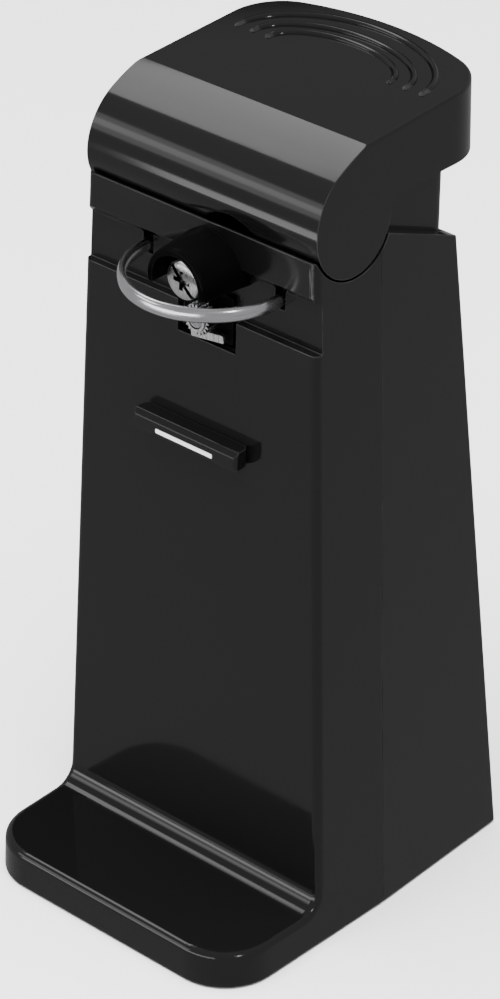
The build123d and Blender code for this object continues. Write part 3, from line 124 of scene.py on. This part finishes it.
# ---------------------------------------------------------------- shader helpers
class Shader:
    """A material's node tree, with short ways to add and join nodes."""

    def __init__(self, name):
        self.material = bpy.data.materials.new(name)
        self.material.use_nodes = True
        self.tree = self.material.node_tree
        self.bsdf = self.tree.nodes["Principled BSDF"]
        self.place = self.node("ShaderNodeTexCoord").outputs["Object"]

    def set_sockets(self, **values):
        """Sets the shader's own sockets, named with _ for a space."""
        for name, value in values.items():
            self.bsdf.inputs[name.replace("_", " ")].default_value = value

    def node(self, kind, **settings):
        made = self.tree.nodes.new(kind)
        for key, value in settings.items():
            if hasattr(made, key) and key not in made.inputs:
                setattr(made, key, value)
            else:
                made.inputs[key].default_value = value
        return made

    def join(self, source, target):
        self.tree.links.new(source, target)

    def noise(self, scale, detail=4.0, stretch=None):
        """Noise over the object's own coordinates; a stretch makes it run along one axis."""
        made = self.node("ShaderNodeTexNoise", Scale=scale, Detail=detail)
        source = self.place
        if stretch:
            mapping = self.node("ShaderNodeMapping", Scale=stretch)
            self.join(source, mapping.inputs["Vector"])
            source = mapping.outputs["Vector"]
        self.join(source, made.inputs["Vector"])
        return made.outputs["Fac"]

    def bands(self, direction, scale, distortion):
        """Parallel stripes across one axis."""
        made = self.node("ShaderNodeTexWave", wave_type="BANDS", bands_direction=direction, Scale=scale)
        made.inputs["Distortion"].default_value = distortion
        self.join(self.place, made.inputs["Vector"])
        return made.outputs["Fac"]

    def remap(self, source, low, high, to_low, to_high):
        made = self.node("ShaderNodeMapRange")
        for name, value in (("From Min", low), ("From Max", high), ("To Min", to_low), ("To Max", to_high)):
            made.inputs[name].default_value = value
        self.join(source, made.inputs["Value"])
        return made.outputs["Result"]

    def spread(self, source, to_low, to_high):
        """Stretches the middle of a noise's values over a range."""
        return self.remap(source, *NOISE_MIDDLE, to_low, to_high)

    def math(self, operation, a, b):
        made = self.node("ShaderNodeMath", operation=operation)
        for slot, value in zip(made.inputs, (a, b)):
            if isinstance(value, (int, float)):
                slot.default_value = value
            else:
                self.join(value, slot)
        return made.outputs[0]

    def rounded_normal(self, radius):
        return self.node("ShaderNodeBevel", samples=BEVEL_SAMPLES, Radius=radius).outputs["Normal"]

    def edge_mask(self, radius):
        """1 along convex and concave edges and 0 on open faces."""
        plain = self.node("ShaderNodeNewGeometry")
        dot = self.node("ShaderNodeVectorMath", operation="DOT_PRODUCT")
        self.join(self.rounded_normal(radius), dot.inputs[0])
        self.join(plain.outputs["Normal"], dot.inputs[1])
        return self.remap(dot.outputs["Value"], 0.995, 0.80, 0.0, 1.0)

    def crevices(self, distance):
        """1 on open faces, falling to 0 in grooves and corners that ambient occlusion finds shaded; it paints
        shade into a colour.
        """
        shade = self.node("ShaderNodeAmbientOcclusion", samples=OCCLUSION_SAMPLES, Distance=distance)
        return self.remap(shade.outputs["AO"], 0.35, 0.85, 0.0, 1.0)

    def mix(self, dark, light, factor):
        """A colour between a dark one and a light one; the light one may be a node's output."""
        made = self.node("ShaderNodeMix", data_type="RGBA")
        made.inputs[MIX_A].default_value = (*dark, 1.0)
        if isinstance(light, tuple):
            made.inputs[MIX_B].default_value = (*light, 1.0)
        else:
            self.join(light, made.inputs[MIX_B])
        self.join(factor, made.inputs[MIX_FACTOR])
        return made.outputs[MIX_RESULT]

    def bump(self, height, distance, strength, rounding=0.0):
        made = self.node("ShaderNodeBump", Distance=distance, Strength=strength)
        self.join(height, made.inputs["Height"])
        if rounding:
            self.join(self.rounded_normal(rounding), made.inputs["Normal"])
        self.join(made.outputs["Normal"], self.bsdf.inputs["Normal"])

    def finish(self, color, roughness):
        """Joins a colour and a roughness to the shader and gives the material."""
        self.join(color, self.bsdf.inputs["Base Color"])
        self.join(roughness, self.bsdf.inputs["Roughness"])
        return self.material


def scaled(color, factor):
    return tuple(c * factor for c in color)


# ---------------------------------------------------------------- materials
def plastic(name, color, rough, specular, grain=0.02, wear=0.03, rounding=0.0):
    """Moulded plastic: uneven gloss, fine surface grain, hairline scratches and paler, duller edges."""
    s = Shader(name)
    s.set_sockets(Specular_IOR_Level=specular)
    cloudy = s.noise(28.0)
    along = s.noise(900.0, 2.0, (1.0, 0.06, 0.03))
    across = s.noise(800.0, 2.0, (0.05, 1.0, 0.08))
    hairlines = s.remap(s.math("MAXIMUM", along, across), 0.66, 0.74, 0.0, 1.0)
    edges = s.edge_mask(PLASTIC_EDGE)
    level = s.spread(cloudy, rough * 0.8, rough * 1.25)
    level = s.math("ADD", level, s.math("MULTIPLY", hairlines, HAIRLINE_DULLING))
    level = s.math("ADD", level, s.math("MULTIPLY", edges, EDGE_DULLING))
    rubbed = s.math("MULTIPLY", edges, s.remap(s.noise(160.0), 0.35, 0.65, 0.2, 0.9))
    paler = tuple(c + wear for c in color)
    s.bump(s.noise(1500.0, 3.0), FINE_GRAIN, grain, rounding)
    return s.finish(s.mix(color, paler, rubbed), level)


def metal(name, color, rough, brushed=(1.0, 0.04, 1.0), grain=0.1, variation=0.12, painted_shade_reach=0.0, metallic=1.0):
    """Metal with a brushed grain along one axis, smudges, brighter edges and, if asked, painted shade
    darkening its crevices.
    """
    s = Shader(name)
    s.set_sockets(Metallic=metallic)
    brush = s.noise(1400.0, 3.0, brushed)
    smudge = s.noise(60.0)
    level = s.spread(brush, rough * 0.75, rough * 1.3)
    level = s.math("ADD", level, s.remap(smudge, 0.45, 0.75, 0.0, SMUDGE_DULLING))
    bright = s.math("MAXIMUM", s.remap(brush, 0.35, 0.65, 0.0, 1.0), s.edge_mask(METAL_EDGE))
    shown = s.mix(scaled(color, 1.0 - variation), color, bright)
    # Painted shade: ambient occlusion over this distance darkens the colour in grooves and corners.
    if painted_shade_reach:
        shown = s.mix(scaled(color, PAINTED_CREVICE_SHADE), shown, s.crevices(painted_shade_reach))
    s.bump(brush, FINE_GRAIN, grain)
    return s.finish(shown, level)


def windings(name, color):
    """Enamelled wire wound round the coil's core, as fine parallel turns."""
    s = Shader(name)
    s.set_sockets(Metallic=0.8)
    turns = s.bands("X", 420.0, 0.3)
    s.bump(turns, 0.15 * MM, 0.6)
    return s.finish(s.mix(scaled(color, 0.35), color, turns), s.spread(s.noise(200.0), 0.28, 0.45))


def laminations(name, color):
    """Stacked steel sheets, seen as thin lines across the stack."""
    s = Shader(name)
    s.set_sockets(Metallic=1.0)
    sheets = s.bands("Y", 310.0, 0.0)
    s.bump(sheets, 0.1 * MM, 0.5)
    return s.finish(s.mix(scaled(color, 0.5), color, sheets), s.spread(s.noise(150.0), 0.35, 0.55))


def speckled(name, color, rough, scale, strength):
    """Soft or cast surfaces with a visible grain and no gloss."""
    s = Shader(name)
    grain = s.noise(scale, 6.0)
    s.bump(grain, 0.06 * MM, strength)
    level = s.spread(s.noise(scale * 0.2), rough * 0.85, min(1.0, rough * 1.15))
    return s.finish(s.mix(scaled(color, 0.7), color, grain), level)


EVEN = (1.0, 1.0, 1.0)  # a metal with no direction to its grain
FINISHES = {
    "gloss_black": (plastic, dict(color=(0.0032, 0.0032, 0.0034), rough=0.10, specular=0.50,
                                  rounding=0.35 * MM)),
    "hood_black": (plastic, dict(color=(0.0012, 0.0012, 0.0012), rough=0.20, specular=0.03, wear=0.006,
                                 rounding=0.25 * MM)),
    "base_black": (plastic, dict(color=(0.018, 0.018, 0.019), rough=0.48, specular=0.40, grain=0.25)),
    "rubber": (speckled, dict(color=(0.03, 0.03, 0.03), rough=0.85, scale=700.0, strength=0.5)),
    "zinc_screw": (metal, dict(color=(0.62, 0.62, 0.60), rough=0.30, brushed=EVEN)),
    "inlay_silver": (metal, dict(color=(0.96, 0.96, 0.97), rough=0.34, brushed=(0.04, 1.0, 1.0),
                                 metallic=0.25)),
    "steel_plate": (metal, dict(color=(0.58, 0.58, 0.60), rough=0.30)),
    "steel_pin": (metal, dict(color=(0.55, 0.55, 0.57), rough=0.22)),
    # The cutter's steel gets painted shade in its grooves and corners, from ambient occlusion within 2 mm.
    "cutter_steel": (metal, dict(color=(0.70, 0.70, 0.71), rough=0.27, brushed=(1.0, 1.0, 0.08), grain=0.04,
                                 painted_shade_reach=2.0 * MM)),
    "polished_steel": (metal, dict(color=(0.78, 0.78, 0.80), rough=0.20, brushed=(0.10, 0.10, 1.0),
                                   grain=0.06)),
    "die_cast_metal": (speckled, dict(color=(0.42, 0.42, 0.44), rough=0.45, scale=500.0, strength=0.3)),
    "bronze": (metal, dict(color=(0.60, 0.42, 0.20), rough=0.38, brushed=EVEN)),
    "gear_nylon": (plastic, dict(color=(0.74, 0.71, 0.62), rough=0.42, specular=0.45, grain=0.12, wear=0.05)),
    "lamination_steel": (laminations, dict(color=(0.38, 0.38, 0.40))),
    "coil_copper": (windings, dict(color=(0.62, 0.26, 0.10))),
    "switch_plastic": (plastic, dict(color=(0.45, 0.05, 0.04), rough=0.35, specular=0.45, grain=0.10)),
}
materials = {slot: make(slot, **look) for slot, (make, look) in FINISHES.items()}
slot_of = {entry["node"]: entry["material_slot"] for entry in frame["record"]["subparts"]}


def dress(obj, slot):
    obj.data.materials.clear()
    obj.data.materials.append(materials[slot])


for node_name, node in frame["nodes"].items():
    dress(node, slot_of[node_name])


# ---------------------------------------------------------------- mesh helpers
def new_object(name, data):
    made = bpy.data.objects.new(name, data)
    bpy.context.scene.collection.objects.link(made)
    return made


def mesh_from(bm, name):
    mesh = bpy.data.meshes.new(name)
    bm.to_mesh(mesh)
    bm.free()
    return mesh


def shade_smooth(mesh):
    for face in mesh.polygons:
        face.use_smooth = True


def mesh_piece(name, build, slot, body, subdivide=0):
    """A new piece from a function that fills a bmesh, smooth shaded and riding on a body."""
    bm = bmesh.new()
    build(bm)
    bmesh.ops.remove_doubles(bm, verts=bm.verts, dist=1e-6)
    bmesh.ops.recalc_face_normals(bm, faces=bm.faces)
    piece = new_object(name, mesh_from(bm, name))
    shade_smooth(piece.data)
    if subdivide:
        modifier = piece.modifiers.new("smooth", "SUBSURF")
        modifier.levels = subdivide
        modifier.render_levels = subdivide
    dress(piece, slot)
    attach(piece, body)
    return piece


def box_in_mm(node_name):
    low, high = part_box(node_name)
    return low / MM, high / MM


def join_rings(bm, rings):
    """Faces between each ring of vertices and the next."""
    count = len(rings[0])
    for first, second in zip(rings, rings[1:]):
        for i in range(count):
            bm.faces.new((first[i], first[(i + 1) % count], second[(i + 1) % count], second[i]))


def sweep(bm, centres, frames, sizes, outline):
    """A closed tube: an outline of (across, up) pairs carried along a line, with capped ends."""
    rings = []
    for centre, (across, up), size in zip(centres, frames, sizes):
        rings.append([bm.verts.new(centre + across * a * size + up * b * size) for a, b in outline])
    join_rings(bm, rings)
    bm.faces.new(rings[0])
    bm.faces.new(rings[-1])


def rounded_outline(half_across, half_up, power, steps):
    """A superellipse: an ellipse at a power of 2, and squarer above it."""
    points = []
    for i in range(steps):
        angle = 2 * math.pi * i / steps
        c, s = math.cos(angle), math.sin(angle)
        a = math.copysign(abs(c) ** (2 / power), c) * half_across
        b = math.copysign(abs(s) ** (2 / power), s) * half_up
        points.append((a, b))
    return points


# ---------------------------------------------------------------- lever's ridges
def top_height(y):
    return TOP_Z + TOP_SLOPE * (y - SEAM_Y)


def end_size(step):
    """How large a ridge is at a step, as a share of its middle."""
    near_end = min(step, RIDGE_STEPS - step)
    if near_end >= RIDGE_TAPER_STEPS:
        return 1.0
    return max(math.sqrt(1 - (1 - near_end / RIDGE_TAPER_STEPS) ** 2), RIDGE_TIP)


def ridge_builder(half, depth):
    """A smooth half-round ridge along half an ellipse, sunk a little into the lever's top."""
    def build(bm):
        centres, frames = [], []
        for step in range(RIDGE_STEPS + 1):
            angle = math.pi * step / RIDGE_STEPS
            x, y = half * math.cos(angle), RIDGE_START_Y + depth * math.sin(angle)
            outward = Vector((math.cos(angle) / half, math.sin(angle) / depth, 0)).normalized()
            centres.append(Vector((x, y, top_height(y) - RIDGE_SINK)) * MM)
            frames.append((outward, Vector((0, 0, 1))))
        sizes = [end_size(step) for step in range(RIDGE_STEPS + 1)]
        outline = rounded_outline(RIDGE_HALF * MM, (RIDGE_RISE + RIDGE_SINK) * MM, 2.0, RIDGE_OUTLINE_STEPS)
        sweep(bm, centres, frames, sizes, outline)
    return build


for number, (half, depth) in enumerate(RIDGES, 1):
    mesh_piece(f"lever_ridge_{number}", ridge_builder(half, depth), "gloss_black", "lever")


# ---------------------------------------------------------------- lid bail
def bail_line():
    """The hoop's centre line: straight legs, then a smooth arc across the front."""
    low, high = box_in_mm("lid_bail")
    radius = (high.x - low.x - BAIL_THICKNESS) / 2
    centre_x = (high.x + low.x) / 2
    depth = BAIL_ARC_Y - (low.y + BAIL_THICKNESS / 2)
    z = (low.z + high.z) / 2
    leg = []
    for i in range(BAIL_LEG_STEPS):
        leg.append((centre_x - radius, BAIL_PIVOT_Y - i / BAIL_LEG_STEPS * (BAIL_PIVOT_Y - BAIL_ARC_Y)))
    arc = []
    for i in range(BAIL_ARC_STEPS + 1):
        angle = math.pi * (1 - i / BAIL_ARC_STEPS)
        arc.append((centre_x + radius * math.cos(angle), BAIL_ARC_Y - depth * math.sin(angle)))
    other_leg = [(2 * centre_x - x, y) for x, y in reversed(leg)]
    return [Vector((x, y, z)) * MM for x, y in leg + arc + other_leg]


def build_bail(bm):
    line = bail_line()
    up = Vector((0, 0, 1))
    frames = []
    for before, after in zip([line[0], *line], [*line[1:], line[-1]]):
        frames.append(((after - before).normalized().cross(up).normalized(), up))
    outline = rounded_outline(BAIL_HALF_ACROSS * MM, BAIL_HALF_UP * MM, BAIL_SQUARENESS, BAIL_OUTLINE_STEPS)
    sweep(bm, line, frames, [1.0] * len(line), outline)


bail = mesh_piece("bail_hoop", build_bail, "polished_steel", "lid_bail", subdivide=1)
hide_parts("lid_bail")


# ---------------------------------------------------------------- cutter screw
def build_screw(bm):
    """A turned disc with a rounded rim and a domed face, standing on its shank."""
    low, high = box_in_mm("cutter_screw")
    radius = (high.x - low.x) / 2
    centre_x, centre_z, front = (high.x + low.x) / 2, (high.z + low.z) / 2, low.y
    profile = [*SCREW_DOME]
    profile += [(radius - inset, depth) for inset, depth in SCREW_RIM]
    profile += [(SHANK_R, SCREW_HEAD_T), (SHANK_R, high.y - front)]
    rings = []
    for distance, depth in profile:
        ring = []
        for i in range(SCREW_STEPS):
            angle = 2 * math.pi * i / SCREW_STEPS
            x, z = centre_x + distance * math.cos(angle), centre_z + distance * math.sin(angle)
            ring.append(bm.verts.new(Vector((x, front + depth, z)) * MM))
        rings.append(ring)
    join_rings(bm, rings)
    tip = bm.verts.new(Vector((centre_x, front, centre_z)) * MM)
    for i in range(SCREW_STEPS):
        bm.faces.new((tip, rings[0][i], rings[0][(i + 1) % SCREW_STEPS]))
    bm.faces.new(rings[-1])


def cut_grooves(piece, grooves):
    """Cuts straight grooves (length, width, lean) into the disc's face, through its centre."""
    low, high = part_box("cutter_screw")
    centre = Vector(((low.x + high.x) / 2, low.y, (low.z + high.z) / 2))
    for length, width, lean in grooves:
        bm = bmesh.new()
        bmesh.ops.create_cube(bm, size=1.0)
        bmesh.ops.scale(bm, vec=Vector((length, 2 * GROOVE_DEPTH, width)) * MM, verts=bm.verts)
        bmesh.ops.rotate(bm, matrix=Matrix.Rotation(math.radians(-lean), 3, "Y"), verts=bm.verts)
        bmesh.ops.translate(bm, vec=centre, verts=bm.verts)
        cutter = new_object("groove", mesh_from(bm, "groove"))
        modifier = piece.modifiers.new("groove", "BOOLEAN")
        modifier.operation = "DIFFERENCE"
        modifier.solver = "EXACT"
        modifier.object = cutter
        bpy.context.view_layer.update()
        solid = piece.evaluated_get(bpy.context.evaluated_depsgraph_get())
        cut = bpy.data.meshes.new_from_object(solid)
        piece.modifiers.remove(modifier)
        piece.data = cut
        bpy.data.objects.remove(cutter)


screw = mesh_piece("cutter_screw_head", build_screw, "cutter_steel", "cutter_slide")
cut_grooves(screw, SCREW_GROOVES)
shade_smooth(screw.data)
screw.data.set_sharp_from_angle(angle=SCREW_SHARP_ANGLE)
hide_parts("cutter_screw")


# ---------------------------------------------------------------- floor, lights and camera
def flat_sheet(name, width, depth, material):
    """A rectangle in the XY plane about the origin."""
    mesh = bpy.data.meshes.new(name)
    square = [(-1, -1), (1, -1), (1, 1), (-1, 1)]
    mesh.from_pydata([(x * width / 2, y * depth / 2, 0) for x, y in square], [], [(0, 1, 2, 3)])
    mesh.materials.append(material)
    return new_object(name, mesh)


def plain_floor():
    s = Shader("pale_floor")
    shade = s.mix((0.86, 0.86, 0.86), (0.89, 0.89, 0.89), s.noise(3.0))
    s.bump(s.noise(300.0), 0.05 * MM, 0.05)
    s.finish(shade, s.spread(s.noise(40.0), 0.55, 0.65))
    floor = flat_sheet("floor", 2 * FLOOR_HALF, 2 * FLOOR_HALF, s.material)
    floor.visible_glossy = False


def softbox(name, direction, distance, size, power, in_gloss=True):
    """A rectangular studio light in a direction from the opener's middle, facing it."""
    light = bpy.data.lights.new(name, "AREA")
    light.shape = "RECTANGLE"
    light.size, light.size_y = size
    light.energy = power
    lamp = new_object(name, light)
    lamp.location = STUDIO_MIDDLE + Vector(direction).normalized() * distance
    lamp.rotation_euler = (STUDIO_MIDDLE - lamp.location).to_track_quat("-Z", "Y").to_euler()
    lamp.visible_glossy = in_gloss


def flag(name, place, towards, size, brightness):
    """A card that only reflections show: it stands in for the dark part of a studio."""
    s = Shader(name)
    s.set_sockets(Base_Color=(0, 0, 0, 1), Specular_IOR_Level=0.0)
    s.set_sockets(Emission_Color=(1, 1, 1, 1), Emission_Strength=brightness)
    card = flat_sheet(name, *size, s.material)
    card.location = place
    card.rotation_euler = (Vector(towards) - Vector(place)).to_track_quat("Z", "Y").to_euler()
    card.visible_camera = False
    card.visible_diffuse = False
    card.visible_shadow = False


def studio():
    world = bpy.data.worlds.new("studio")
    world.use_nodes = True
    background = world.node_tree.nodes["Background"]
    background.inputs["Color"].default_value = (1, 1, 1, 1)
    background.inputs["Strength"].default_value = WORLD_STRENGTH
    bpy.context.scene.world = world
    softbox("key", *KEY, in_gloss=False)
    softbox("overhead", *OVERHEAD)
    for number, (rise, power) in enumerate(BANDS, 1):
        softbox(f"band_{number}", (*BAND_ASIDE, rise), BAND_DISTANCE, BAND_SIZE, power)
    softbox("rim", *RIM)
    softbox("low_front", *LOW_FRONT)
    flag("foot_flag", *FOOT_FLAG)
    flag("lever_flag", *LEVER_FLAG)


def aim_camera():
    data = bpy.data.cameras.new("camera")
    data.lens = LENS
    data.sensor_width = SENSOR
    data.sensor_fit = "AUTO"
    data.clip_end = CLIP_END
    camera = new_object("camera", data)
    at, aim = Vector(CAMERA_AT) * MM, Vector(CAMERA_AIM) * MM
    turn = (aim - at).to_track_quat("-Z", "Y").to_matrix().to_4x4()
    camera.matrix_world = Matrix.Translation(at) @ turn @ Matrix.Rotation(CAMERA_ROLL, 4, "Z")
    bpy.context.scene.camera = camera


plain_floor()
studio()
aim_camera()
